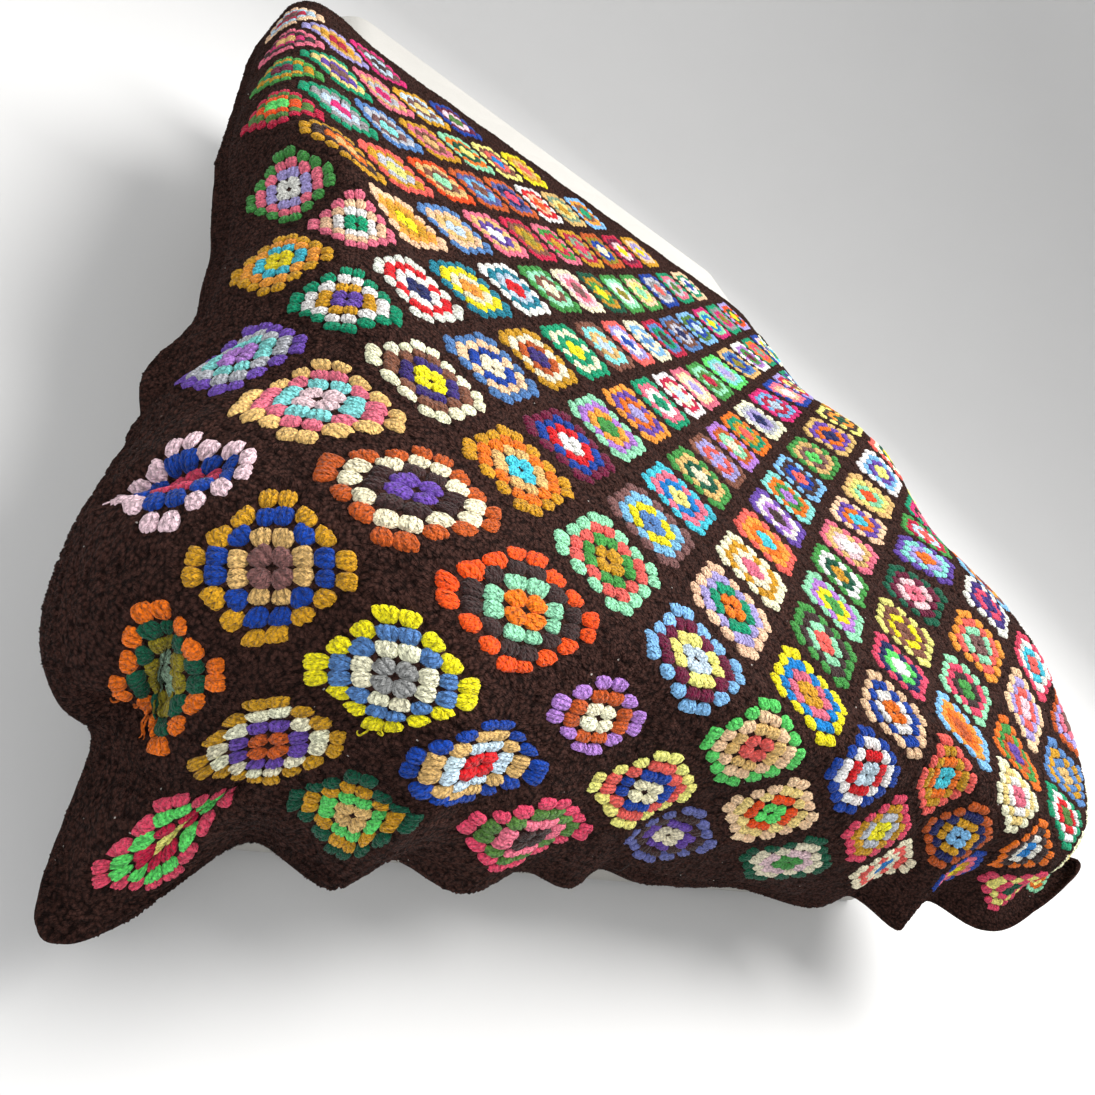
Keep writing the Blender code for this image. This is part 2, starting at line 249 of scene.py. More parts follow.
def round_corner(x, y, low, high, radii):
    """Points of a rectangle with its corners rounded: low-low, high-low, low-high, high-high."""
    x, y = x.copy(), y.copy()
    for (sx, sy), r in zip(((-1, -1), (1, -1), (-1, 1), (1, 1)), radii):
        cx = (high[0] if sx > 0 else low[0]) - sx * r
        cy = (high[1] if sy > 0 else low[1]) - sy * r
        p, q = (x - cx) * sx, (y - cy) * sy
        inside = (p > 0) & (q > 0)
        shrink = np.maximum(p, q) / np.maximum(np.hypot(p, q), 1e-9)
        x = np.where(inside, cx + sx * p * shrink, x)
        y = np.where(inside, cy + sy * q * shrink, y)
    return x, y


# the solid's frame is centred: find its shift from the base's low corner
base_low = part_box("bed_base")[0]
SHIFT = np.array([base_low.x - (MATTRESS_LEFT + BASE_INSET),
                  base_low.y - (MATTRESS_FOOT + BASE_INSET), BED_TOP])


# Where the soft cloth has slipped over the folds. A point of the flat cloth and how far it is
# pulled to the right and towards the foot, all in diagonals
PULLED = (
    (-0.81, 0.50, -0.14, -0.02),
    (-0.50, 0.19, -0.04, 0.05),
    (-0.19, 0.50, 0.04, 0.02),
    (-0.81, 1.50, 0.10, 0.02),
    (-0.50, 1.20, 0.00, -0.05),
    (-0.19, 1.50, -0.07, 0.04),
    (-0.50, 1.80, -0.09, 0.13),
    (-0.81, 2.50, -0.05, 0.13),
    (-0.50, 2.50, -0.04, 0.05),
    (-0.19, 2.50, -0.05, -0.22),
    (-0.50, 2.80, -0.16, 0.08),
    (0.00, 2.00, -0.03, -0.05),
    (0.30, 2.00, -0.01, -0.09),
    (0.00, 2.30, -0.08, -0.12),
    (0.20, 2.50, -0.03, -0.13),
    (0.50, 2.20, -0.06, -0.09),
    (0.50, 2.50, 0.04, -0.16),
    (0.80, 2.50, -0.02, -0.30),
    (0.50, 2.80, 0.16, -0.10),
    (0.70, 2.00, -0.02, -0.12),
    (1.00, 2.00, 0.00, -0.06),
    (1.30, 2.00, 0.00, -0.08),
    (1.00, 2.30, 0.04, -0.08),
)
PULL_REACH = 0.20                   # diagonals

# Creases that are finer than the solid's folds: start and end on the flat cloth in diagonals,
# then in metres half width, depth and the cloth that is gathered into each side
CREASES = (
    (-1.06, 0.44, -0.20, 0.50, 0.014, 0.024, 0.020),
    (-0.39, 1.14, -0.72, 1.98, 0.013, 0.016, 0.008),
    (-0.90, 1.50, -0.72, 1.92, 0.013, 0.010, 0.010),
    (-0.70, 2.70, -0.08, 2.16, 0.014, 0.012, 0.009),
    (-1.02, 2.00, -0.40, 2.16, 0.022, 0.010, 0.000),
    (0.05, 2.35, 0.25, 3.00, 0.030, -0.006, 0.000),
    (1.05, 2.30, 1.10, 3.00, 0.030, -0.006, 0.000),
)
GATHER_REACH = 0.070                # how far from a crease its gathering is felt


def to_crease(row, a, b):
    """Distance across a crease, how much of it is felt at (a, b), and its direction."""
    start = np.array(row[:2]) * DIAGONAL
    run = np.array(row[2:4]) * DIAGONAL - start
    length = np.hypot(*run)
    along = ((a - start[0]) * run[0] + (b - start[1]) * run[1]) / length**2
    across = ((a - start[0]) * run[1] - (b - start[1]) * run[0]) / length
    share = np.clip(along, 0, 1)
    return across, (4 * share * (1 - share)) ** 0.8, run / length


def settle(a, b):
    """Where on the drape the flat cloth's point (a, b) has come to lie."""
    total, pull_a, pull_b = 0.25 + 0 * a, 0 * a, 0 * a
    for at_a, at_b, by_a, by_b in PULLED:
        near = np.exp(-((a / DIAGONAL - at_a) ** 2 + (b / DIAGONAL - at_b) ** 2) / PULL_REACH**2)
        total = total + near
        pull_a, pull_b = pull_a + near * by_a, pull_b + near * by_b
    a, b = a + pull_a / total * DIAGONAL, b + pull_b / total * DIAGONAL
    for row in CREASES:
        if row[6]:
            across, felt, way = to_crease(row, a, b)
            drawn = (row[6] * felt * np.tanh(across / row[6] * 0.85)
                     * np.exp(-((across / GATHER_REACH) ** 4)))
            a, b = a - drawn * way[1], b + drawn * way[0]
    return a, b


def crease(a, b):
    """How far the cloth stands proud of the solid's surface: creases and unevenness."""
    out = 0.0010 * np.sin(a / 0.021 + 1.3 * np.sin(b / 0.045)) * np.sin(b / 0.027 + 0.8)
    for row in CREASES:
        across, felt, _ = to_crease(row, a, b)
        out = out - row[5] * felt * np.exp(-((across / row[4]) ** 2))
    return out


def place(a, b, height=0.0):
    """Points that stand height above the middle of the cloth at (a, b), and the normals there."""
    a, b = np.asarray(a, float).ravel(), np.asarray(b, float).ravel()
    height = np.broadcast_to(np.asarray(height, float).ravel(), a.shape)
    points, normals = np.empty((len(a), 3)), np.empty((len(a), 3))
    nudge = 0.0008
    for at in range(0, len(a), 40000):
        part = slice(at, at + 40000)
        a_, b_ = settle(a[part], b[part])
        here = drape(a_, b_)
        along_a = (drape(a_ + nudge, b_) - here) / nudge
        along_b = (drape(a_, b_ + nudge) - here) / nudge
        normal = np.cross(along_b, along_a)
        normal /= np.linalg.norm(normal, axis=1, keepdims=True) + 1e-12
        proud = crease(a_, b_)
        here = here + normal * proud[:, None]
        rise_a = (crease(a_ + nudge, b_) - proud) / nudge
        rise_b = (crease(a_, b_ + nudge) - proud) / nudge
        normal = normal - along_a * rise_a[:, None] - along_b * rise_b[:, None]
        normal /= np.linalg.norm(normal, axis=1, keepdims=True) + 1e-12
        points[part] = here + SHIFT + normal * height[part, None]
        normals[part] = normal
    return points, normals


# ---- mesh help ------------------------------------------------------------------------
def linear(colour):
    """Linear light from a colour given as 0-255 screen values."""
    c = np.asarray(colour, float) / 255
    return np.where(c <= 0.04045, c / 12.92, ((c + 0.055) / 1.055) ** 2.4)


def mesh_object(name, points, faces, material, uv=None, yarn=None):
    """A smooth mesh from arrays: quads or triangles, a UV map and a yarn colour per point."""
    sides = faces.shape[1]
    mesh = bpy.data.meshes.new(name)
    mesh.vertices.add(len(points))
    mesh.vertices.foreach_set("co", np.asarray(points, np.float32).ravel())
    mesh.loops.add(faces.size)
    mesh.loops.foreach_set("vertex_index", faces.astype(np.int32).ravel())
    mesh.polygons.add(len(faces))
    mesh.polygons.foreach_set("loop_start", np.arange(0, faces.size, sides, dtype=np.int32))
    mesh.polygons.foreach_set("use_smooth", np.ones(len(faces), bool))
    mesh.update(calc_edges=True)
    if uv is not None:
        layer = mesh.uv_layers.new(name="stitch")
        layer.data.foreach_set("uv", uv[faces.ravel()].astype(np.float32).ravel())
    if yarn is not None:
        made = mesh.color_attributes.new("yarn", "FLOAT_COLOR", "POINT")
        rgba = np.concatenate([yarn, np.ones((len(yarn), 1))], 1)
        made.data.foreach_set("color", rgba.astype(np.float32).ravel())
    mesh.materials.append(material)
    made = bpy.data.objects.new(name, mesh)
    scene.collection.objects.link(made)
    return made


# ---- materials ------------------------------------------------------------------------
class Nodes:
    """Short calls for building one material's node tree."""

    def __init__(self, name):
        self.material = bpy.data.materials.new(name)
        self.material.use_nodes = True
        self.tree = self.material.node_tree
        self.shader = self.tree.nodes["Principled BSDF"]

    def add(self, kind, **inputs):
        node = self.tree.nodes.new(kind)
        for key, value in inputs.items():
            if hasattr(node, key):
                setattr(node, key, value)
            else:
                self.put(node, key.replace("_", " "), value)
        return node

    def put(self, node, key, value):
        socket = node.inputs[int(key)] if str(key).strip().isdigit() else node.inputs[key]
        if isinstance(value, bpy.types.NodeSocket):
            self.tree.links.new(value, socket)
        else:
            socket.default_value = value

    def math(self, operation, *values, clamp=False):
        node = self.tree.nodes.new("ShaderNodeMath")
        node.operation, node.use_clamp = operation, clamp
        for k, value in enumerate(values):
            self.put(node, k, value)
        return node.outputs[0]

    def noise(self, vector, scale, detail=2.0, roughness=0.5):
        node = self.add("ShaderNodeTexNoise", Scale=scale, Detail=detail, Roughness=roughness)
        self.put(node, "Vector", vector)
        return node.outputs["Fac"]

    def spread(self, value, low, high, to_low, to_high):
        node = self.tree.nodes.new("ShaderNodeMapRange")
        for key, item in (("Value", value), ("From Min", low), ("From Max", high),
                          ("To Min", to_low), ("To Max", to_high)):
            self.put(node, key, item)
        return node.outputs["Result"]

    def mix(self, factor, first, second, blend="MIX"):
        node = self.tree.nodes.new("ShaderNodeMix")
        node.data_type, node.blend_type = "RGBA", blend
        for k, value in ((0, factor), (6, first), (7, second)):
            self.put(node, k, value)
        return node.outputs[2]

    def bump(self, height, distance, strength=1.0, under=None):
        node = self.add("ShaderNodeBump", Distance=distance, Strength=strength, Height=height)
        if under is not None:
            self.put(node, "Normal", under)
        return node.outputs["Normal"]

    def finish(self, colour, roughness, normal, **settings):
        self.put(self.shader, "Base Color", colour)
        self.put(self.shader, "Roughness", roughness)
        self.put(self.shader, "Normal", normal)
        for key, value in settings.items():
            self.put(self.shader, key.replace("_", " "), value)
        return self.material


def stitch_height(n, across, along, rows):
    """Crochet ply: each post carries small Vs, and its edges sink a little."""
    share = n.math("FRACT", across)
    off = n.math("ABSOLUTE", n.math("SUBTRACT", share, 0.5))
    slant = n.math("ADD", n.math("MULTIPLY", along, rows), n.math("MULTIPLY", off, 2.2))
    ply = n.math("SINE", n.math("MULTIPLY", slant, 2 * math.pi))
    groove = n.math("POWER", n.math("MULTIPLY", off, 2.0), 3.0)
    return n.math("SUBTRACT", n.math("MULTIPLY", ply, 0.35), groove)


def yarn_material(name, plain=None):
    """Fuzzy acrylic yarn. Its colour is the mesh's own, or plain with pale lint, with painted shade in the
    stitch grooves and the gaps between loops.
    """
    n = Nodes(name)
    stitch = n.add("ShaderNodeUVMap", uv_map="stitch").outputs["UV"]
    parts = n.add("ShaderNodeSeparateXYZ")
    n.put(parts, 0, stitch)
    where = n.add("ShaderNodeTexCoord").outputs["Object"]
    fuzz = n.noise(where, 900.0, 3.0, 0.7)
    soft = n.noise(where, 140.0, 3.0, 0.6)
    age = n.noise(where, 9.0, 2.0, 0.5)
    height = stitch_height(n, parts.outputs[0], parts.outputs[1], 4.0)
    # the loops of the strands, with painted shade in the small gaps between them
    loops = n.add("ShaderNodeTexVoronoi", Scale=300.0 if plain is None else 250.0, feature="F1")
    n.put(loops, "Vector", where)
    loop = loops.outputs["Distance"]
    if plain is None:
        base = n.add("ShaderNodeVertexColor", layer_name="yarn").outputs["Color"]
        gap = n.spread(loop, 0.30, 0.80, 1.20, 0.62)
    else:
        base = (*linear(plain), 1)
        gap = n.spread(loop, 0.25, 0.75, 1.50, 0.30)
    shade = n.math("ADD", n.spread(fuzz, 0.3, 0.7, 0.82, 1.16),
                   n.math("MULTIPLY", n.math("SUBTRACT", soft, 0.5), 0.25 if plain is None else 0.7))
    # painted shade and light: the ply's dips and the grooves between posts darker, its crests lighter
    shade = n.math("ADD", shade, n.math("MULTIPLY", height, 0.13))
    # painted shade: the colour darkens towards the gaps between the loops
    shade = n.math("MULTIPLY", shade, gap)
    shade = n.math("MULTIPLY", shade, n.spread(age, 0.3, 0.7, 0.94, 1.05))
    grey = n.add("ShaderNodeCombineXYZ")
    for k in range(3):
        n.put(grey, k, shade)
    colour = n.mix(1.0, base, grey.outputs[0], "MULTIPLY")
    if plain is not None:
        cells = n.add("ShaderNodeTexVoronoi", Scale=55.0, feature="F1")
        n.put(cells, "Vector", where)
        lint = n.math("MULTIPLY", n.math("LESS_THAN", cells.outputs["Distance"], 0.055),
                      n.math("GREATER_THAN", n.noise(where, 30.0, 1.0), 0.53))
        colour = n.mix(n.math("MULTIPLY", lint, 0.8), colour, (0.50, 0.46, 0.42, 1))
    rough = n.spread(fuzz, 0.3, 0.7, 0.80, 0.97)
    normal = n.bump(height, 0.0016, 0.8)
    normal = n.bump(n.math("SUBTRACT", 1.0, loop), 0.0024, 0.8, normal)
    normal = n.bump(fuzz, 0.0011, 0.6, normal)
    return n.finish(colour, rough, normal, Sheen_Weight=0.12 if plain is None else 0.0,
                    Sheen_Roughness=0.45, Specular_IOR_Level=0.15 if plain is None else 0.08)


def cloth_material(name, colour, thread, sheen, stripe=0.0):
    """Woven cloth with crossed threads, slubs and a little unevenness."""
    n = Nodes(name)
    where = n.add("ShaderNodeTexCoord").outputs["Object"]
    parts = n.add("ShaderNodeSeparateXYZ")
    n.put(parts, 0, where)
    turn = 2 * math.pi / thread
    along = n.math("SINE", n.math("MULTIPLY", n.math("ADD", parts.outputs[0], parts.outputs[2]), turn))
    cross = n.math("SINE", n.math("MULTIPLY", n.math("SUBTRACT", parts.outputs[1], parts.outputs[2]), turn))
    weave = n.math("MULTIPLY", along, cross)
    slub = n.noise(where, 260.0, 3.0, 0.6)
    wide = n.noise(where, 3.5, 3.0, 0.5)
    shade = n.math("ADD", n.spread(slub, 0.3, 0.7, 0.95, 1.04), n.math("MULTIPLY", weave, 0.03))
    shade = n.math("MULTIPLY", shade, n.spread(wide, 0.3, 0.7, 0.97, 1.02))
    if stripe:
        line = n.math("SINE", n.math("MULTIPLY", parts.outputs[0], 2 * math.pi / stripe))
        shade = n.math("MULTIPLY", shade, n.spread(line, 0.80, 0.95, 1.0, 0.93))
    grey = n.add("ShaderNodeCombineXYZ")
    for k in range(3):
        n.put(grey, k, shade)
    made = n.mix(1.0, (*linear(colour), 1), grey.outputs[0], "MULTIPLY")
    normal = n.bump(weave, thread * 0.25, 0.6)
    normal = n.bump(slub, 0.0008, 0.4, normal)
    return n.finish(made, n.spread(slub, 0.3, 0.7, 0.80, 0.95), normal,
                    Sheen_Weight=sheen, Sheen_Roughness=0.5, Specular_IOR_Level=0.25)


# ---- yarns ----------------------------------------------------------------------------
YARNS = {
    "cream": (248, 240, 206), "white": (244, 242, 238), "straw": (240, 214, 134),
    "yellow": (250, 232, 20), "pale_yellow": (246, 238, 130), "gold": (210, 154, 28),
    "olive": (150, 136, 34), "tan": (228, 186, 116), "peach": (250, 204, 164),
    "light_orange": (250, 158, 56), "orange": (244, 118, 20), "red_orange": (250, 82, 18),
    "rust": (196, 88, 30), "coral": (242, 98, 88), "red": (220, 20, 30),
    "crimson": (196, 26, 66), "maroon": (110, 18, 56), "pale_pink": (242, 208, 214),
    "pink": (238, 116, 140), "hot_pink": (220, 38, 118), "rose_brown": (122, 84, 80),
    "brown": (132, 82, 64), "lilac": (172, 160, 222), "orchid": (180, 126, 212),
    "violet": (104, 70, 168), "indigo": (60, 44, 120), "navy": (26, 34, 92),
    "royal_blue": (14, 64, 164), "steel_blue": (86, 132, 192), "light_blue": (128, 188, 236),
    "pale_blue": (196, 218, 236), "azure": (0, 124, 200), "aqua": (70, 200, 222),
    "pale_aqua": (134, 222, 216), "teal": (22, 124, 146), "pale_teal": (134, 166, 136),
    "mint": (150, 226, 180), "bright_green": (96, 224, 106), "green": (66, 150, 66),
    "moss": (84, 130, 56), "emerald": (0, 152, 108), "dark_green": (6, 84, 58),
    "grey": (152, 152, 152), "pale_grey": (192, 194, 202), "dark_brown": (60, 40, 38),
    "rose": (230, 72, 104), "periwinkle": (96, 102, 164), "ground": (56, 35, 30),
}

# Squares that stand out, by row: steps up to the right, steps down to the right, then
# the yarn of each round from the centre outwards
CHOSEN = (
    (-3, 2, "pale_yellow", "crimson", "bright_green", "rose"),
    (-2, 1, "pale_teal", "olive", "dark_green", "orange"),
    (-2, 2, "rust", "violet", "cream", "gold"),
    (-2, 3, "tan", "bright_green", "gold", "dark_green"),
    (-1, 0, "pale_blue", "rose", "royal_blue", "pale_pink"),
    (-1, 1, "rose_brown", "tan", "royal_blue", "gold"),
    (-1, 2, "grey", "cream", "steel_blue", "yellow"),
    (-1, 3, "red", "pale_blue", "tan", "royal_blue"),
    (-1, 4, "dark_brown", "pink", "moss", "rose"),
    (0, -1, "orchid", "pale_aqua", "pale_grey", "violet"),
    (0, 0, "pale_pink", "pale_aqua", "pink", "tan"),
    (0, 1, "violet", "dark_brown", "cream", "rust"),
    (0, 2, "orange", "mint", "dark_brown", "red_orange"),
    (0, 3, "cream", "rust", "orchid", "ground"),
    (0, 4, "cream", "royal_blue", "coral", "pale_yellow"),
    (0, 5, "cream", "violet", "dark_brown", "periwinkle"),
    (1, -2, "yellow", "aqua", "light_orange", "gold"),
    (1, -1, "violet", "gold", "white", "emerald"),
    (1, 0, "yellow", "indigo", "brown", "cream"),
    (1, 1, "aqua", "tan", "orange", "gold"),
    (1, 2, "gold", "green", "coral", "mint"),
    (1, 3, "pale_blue", "pale_yellow", "maroon", "light_blue"),
    (1, 4, "coral", "tan", "peach", "bright_green"),
    (1, 5, "bright_green", "red_orange", "straw", "peach"),
    (1, 6, "green", "pale_pink", "cream", "dark_green"),
    (2, -2, "emerald", "white", "peach", "pink"),
    (2, -1, "navy", "white", "red", "white"),
    (2, 3, "orange", "emerald", "lilac", "peach"),
    (2, 4, "gold", "pink", "azure", "yellow"),
    (2, 5, "pale_blue", "red", "white", "royal_blue"),
    (2, 6, "yellow", "pale_grey", "gold", "rose"),
    (3, 5, "orange", "white", "royal_blue", "peach"),
    (3, 6, "aqua", "orange", "gold", "coral"),
    (2, 0, "cream", "royal_blue", "peach", "steel_blue"),
    (2, 1, "white", "red", "royal_blue", "maroon"),
    (2, 2, "steel_blue", "yellow", "light_blue", "rose_brown"),
    (2, 7, "azure", "cream", "coral", "cream"),
    (3, -2, "yellow", "gold", "light_orange", "peach"),
    (3, -1, "light_orange", "cream", "yellow", "teal"),
    (3, 0, "indigo", "rust", "cream", "gold"),
    (3, 1, "green", "light_orange", "orchid", "mint"),
    (3, 2, "pale_yellow", "azure", "pink", "aqua"),
    (3, 3, "pink", "cream", "gold", "cream"),
    (3, 4, "coral", "mint", "dark_brown", "green"),
    (3, 7, "light_blue", "gold", "navy", "rust"),
    (3, 8, "yellow", "gold", "pink", "royal_blue"),
    (4, -2, "pale_blue", "tan", "peach", "steel_blue"),
    (4, -1, "red", "pale_blue", "teal", "white"),
    (4, 0, "yellow", "emerald", "cream", "emerald"),
    (4, 1, "lilac", "orange", "violet", "light_orange"),
    (4, 2, "cream", "dark_green", "tan", "green"),
    (4, 3, "aqua", "orange", "light_orange", "coral"),
    (4, 4, "green", "yellow", "orchid", "mint"),
    (4, 5, "white", "bright_green", "navy", "rose"),
    (4, 6, "rust", "orange", "light_orange", "light_blue"),
    (4, 7, "pink", "white", "straw", "cream"),
    (4, 8, "azure", "white", "dark_brown", "orange"),
    (4, 9, "dark_green", "rose", "pale_yellow", "rose"),
    (5, -1, "cream", "brown", "mint", "green"),
    (5, 0, "pale_blue", "tan", "pale_aqua", "brown"),
    (5, 1, "emerald", "white", "pink", "emerald"),
    (5, 2, "lilac", "coral", "lilac", "brown"),
    (5, 3, "dark_brown", "orchid", "white", "violet"),
    (5, 4, "gold", "dark_green", "white", "green"),
    (5, 5, "brown", "yellow", "brown", "pale_yellow"),
    (5, 6, "green", "dark_brown", "rose", "mint"),
    (5, 7, "violet", "rust", "green", "orange"),
    (5, 8, "moss", "red", "white", "emerald"),
    (5, 9, "tan", "pale_teal", "straw", "cream"),
    (6, 0, "royal_blue", "white", "lilac", "coral"),
    (6, -1, "rose_brown", "pink", "pale_pink", "cream"),
    (6, 1, "pale_blue", "cream", "crimson", "white"),
    (6, 2, "cream", "mint", "rust", "orchid"),
    (6, 3, "orchid", "green", "orange", "pale_aqua"),
    (6, 4, "white", "pale_pink", "tan", "pink"),
    (6, 5, "pink", "pale_pink", "maroon", "dark_green"),
    (6, 6, "rose_brown", "mint", "coral", "light_orange"),
    (6, 7, "pale_pink", "coral", "lilac", "peach"),
    (6, 8, "tan", "steel_blue", "gold", "steel_blue"),
    (7, -1, "yellow", "green", "gold", "dark_green"),
    (7, 0, "steel_blue", "cream", "light_blue", "cream"),
    (7, 1, "lilac", "cream", "peach", "pink"),
    (7, 2, "coral", "gold", "emerald", "orange"),
    (7, 3, "coral", "royal_blue", "dark_brown", "light_blue"),
    (7, 4, "aqua", "orange", "violet", "peach"),
    (7, 5, "orange", "lilac", "pale_aqua", "violet"),
    (7, 6, "indigo", "rose", "indigo", "white"),
    (7, 7, "coral", "aqua", "white", "rose"),
)
CHOSEN = {(row[0], row[1]): row[2:] for row in CHOSEN}
OUTER = ("gold", "yellow", "light_blue", "coral", "mint", "green", "peach", "royal_blue",
         "pink", "orange", "white", "lilac", "rust", "hot_pink", "pale_yellow", "cream",
         "steel_blue", "emerald", "red_orange", "tan", "crimson", "bright_green")
ANY = tuple(name for name in YARNS if name != "ground")


def rounds_of(i, j):
    """The yarns of square (i, j), centre first: as chosen, or four that differ from their neighbours."""
    if (i, j) in CHOSEN:
        return CHOSEN[(i, j)]
    pick = np.random.default_rng([7, i + 20, j + 20])
    outer = OUTER[pick.integers(len(OUTER))]
    found = [outer]
    while len(found) < 4:
        name = ANY[pick.integers(len(ANY))]
        step = np.abs(linear(YARNS[name]) - linear(YARNS[found[-1]])).sum()
        if name not in found and step > 0.35:
            found.append(name)
    return found[::-1]


# ---- clusters of double crochet ------------------------------------------------------------
ROUND_STEP = 0.0115            # from round to round, and half the pitch along a square's side
CLUSTER_WIDE, CLUSTER_DEEP = 0.0214, 0.0172  # a cluster of three double crochets
CORNER_WIDE = 0.90             # share of that width that a corner's clusters keep
CORNER_LEAN = 38               # degrees that a corner's clusters fan out
GROUND_HIGH, GROUND_LOW = 0.0004, -0.0018    # faces of the sheet that backs the clusters
UP_RIGHT = np.array([1.0, -1.0]) / math.sqrt(2)      # the squares' own axes on (a, b)
DOWN_RIGHT = np.array([1.0, 1.0]) / math.sqrt(2)


def square_clusters(number):
    """A round's clusters on a square's first side: (tangent, radial) of foot and top, and width.

    Each stands over the gap between two clusters of the round inside it.
    """
    middle, half = ROUND_STEP * number, CLUSTER_DEEP / 2
    rows = []
    for k in range(number):
        along = ROUND_STEP * (2 * k - number + 1)
        at_corner = number > 1 and k in (0, number - 1)
        lean = math.radians(math.copysign(CORNER_LEAN, along)) if at_corner else 0.0
        off, up = half * math.sin(lean), half * math.cos(lean)
        rows.append(((along - off, middle - up), (along + off, middle + up),
                     CORNER_WIDE if at_corner else 1.0))
    return rows


def all_squares():
    """(i, j, centre a, centre b) of the 162 whole squares, then of the half squares at the sides."""
    whole, part = [], []
    for i in range(-6, 16):
        for j in range(-9, 14):
            x, y = (i + j) / 2, (j - i) / 2
            centre = (i, j, x * DIAGONAL, y * DIAGONAL)
            if -0.9 < x < 7.9 and -6.9 < y < 2.9:
                whole.append(centre)
            elif -1.1 < x < 8.1 and -7.1 < y < 3.1:
                part.append(centre)
    return whole, part


def cluster_rows(squares, number, within=False):
    """Foot, top and width of every cluster of a round, in (a, b), and its square's number."""
    feet, tops, widths, owner = [], [], [], []
    for s, (_, _, a, b) in enumerate(squares):
        centre = np.array([a, b])
        for side in range(4):
            turn = side * math.pi / 2
            out = UP_RIGHT * math.cos(turn) + DOWN_RIGHT * math.sin(turn)
            along = -UP_RIGHT * math.sin(turn) + DOWN_RIGHT * math.cos(turn)
            for foot, top, width in square_clusters(number):
                p = centre + along * foot[0] + out * foot[1]
                q = centre + along * top[0] + out * top[1]
                middle = (p + q) / 2
                if within and not (-DIAGONAL < middle[0] < (ACROSS - 1) * DIAGONAL
                                   and (3 - ALONG) * DIAGONAL < middle[1] < 3 * DIAGONAL):
                    continue
                feet.append(p)
                tops.append(q)
                widths.append(width)
                owner.append(s)
    return np.array(feet), np.array(tops), np.array(widths) * CLUSTER_WIDE, np.array(owner)


def cluster_mesh(name, feet, tops, widths, material, yarn=None, high=0.0046,
                 columns=9, rows=4, loose=1.0, relief=0.26):
    """Puffed clusters: three posts that fan out from a narrow foot to a lobed top."""
    across = {9: (-1, -0.83, -0.5, -0.333, -0.167, 0.167, 0.333, 0.5, 0.83, 1),
              6: (-1, -0.66, -0.333, 0, 0.333, 0.66, 1)}[columns]
    upward = {4: (-1, -0.55, 0.12, 0.70, 1), 3: (-1, -0.3, 0.55, 1)}[rows]
    u, v = np.meshgrid(across, upward, indexing="ij")
    u, v = u.ravel(), v.ravel()
    fan = 0.56 + 0.44 * np.sin(math.pi / 2 * np.clip((v + 1) / 1.35, 0, 1))
    fan = fan * np.sqrt(1 - 0.42 * np.clip((v - 0.25) / 0.75, 0, 1) ** 2)
    wide = u * fan
    deep = v * (1 - 0.20 * u * u) + 0.07 * np.cos(3 * math.pi * u) * np.clip(v, 0, 1)
    dome = np.sqrt((1 - np.abs(u) ** 4) * (1 - np.abs(v) ** 4))
    valley = np.exp(-(((np.abs(u) - 0.333) / 0.1) ** 2))
    lift = dome * (1 - relief * valley) * (0.86 + 0.14 * v)
    count, each = len(feet), len(u)
    axis = tops - feet
    length = np.linalg.norm(axis, axis=1, keepdims=True)
    ahead = axis / length
    turn = np.radians(rng.normal(0, 5.0 * loose, count))[:, None]
    ahead = np.concatenate([ahead[:, :1] * np.cos(turn) - ahead[:, 1:] * np.sin(turn),
                            ahead[:, :1] * np.sin(turn) + ahead[:, 1:] * np.cos(turn)], 1)
    beside = np.stack([-ahead[:, 1], ahead[:, 0]], 1)
    middle = (feet + tops) / 2 + rng.normal(0, 0.0006 * loose, (count, 2))
    size = 1 + rng.normal(0, 0.05 * loose, (count, 1))
    flat = (middle[:, None]
            + beside[:, None] * wide[None, :, None] * (widths[:, None] * size / 2)[:, None]
            + ahead[:, None] * deep[None, :, None] * (length * size * 0.54)[:, None])
    # no cluster is quite like another
    flat = flat + rng.normal(0, 0.00035 * loose, flat.shape)
    puff = high * (1 + rng.normal(0, 0.08 * loose, (count, 1)))
    height = GROUND_HIGH - 0.0010 + (puff + 0.0010) * lift[None]
    points, _ = place(flat[..., 0], flat[..., 1], height)
    k = np.arange(columns)[:, None] * (rows + 1) + np.arange(rows)
    quads = np.stack([k, k + 1, k + rows + 2, k + rows + 1], -1).reshape(-1, 4)
    centre_quad = quads[len(quads) // 2]
    corner = points[centre_quad]
    up = place(flat[0, centre_quad[:1], 0], flat[0, centre_quad[:1], 1])[1][0]
    if np.cross(corner[1] - corner[0], corner[3] - corner[0]) @ up < 0:
        quads = quads[:, ::-1]
    faces = (np.arange(count)[:, None, None] * each + quads[None]).reshape(-1, 4)
    uv = np.tile(np.stack([(u + 1) * 1.5, (v + 1) / 2], 1), (count, 1))
    # each cluster reads its own part of the pattern
    uv[:, 1] += np.repeat(rng.random(count), each)
    colour = None if yarn is None else np.repeat(yarn, each, 0)
    return mesh_object(name, points, faces, material, uv, colour)


whole, partial = all_squares()
coloured_yarn = yarn_material("coloured_yarn")
ground_yarn = yarn_material("ground_yarn", YARNS["ground"])
clusters = []
unseen = [np.empty((0, 2)), np.empty((0, 2)), np.empty(0)]
for number in (1, 2, 3, 4):
    feet, tops, widths, owner = cluster_rows(whole, number)
    names = [rounds_of(*whole[s][:2])[number - 1] for s in range(len(whole))]
    shades = np.array([linear(YARNS[n]) for n in names])
    # no two balls of yarn are quite alike
    shades = shades * (1 + rng.normal(0, 0.05, (len(shades), 1))) * (1 + rng.normal(0, 0.02, shades.shape))
    tint = shades[owner] * (1 + rng.normal(0, 0.04, (len(owner), 1)))
    dark = np.array([names[s] == "ground" for s in owner])
    if dark.any():
        unseen = [part[dark] for part in (feet, tops, widths)]
    clusters.append(cluster_mesh(f"granny_round_{number}", feet[~dark], tops[~dark], widths[~dark],
                                 coloured_yarn, np.clip(tint[~dark], 0, 0.95)))

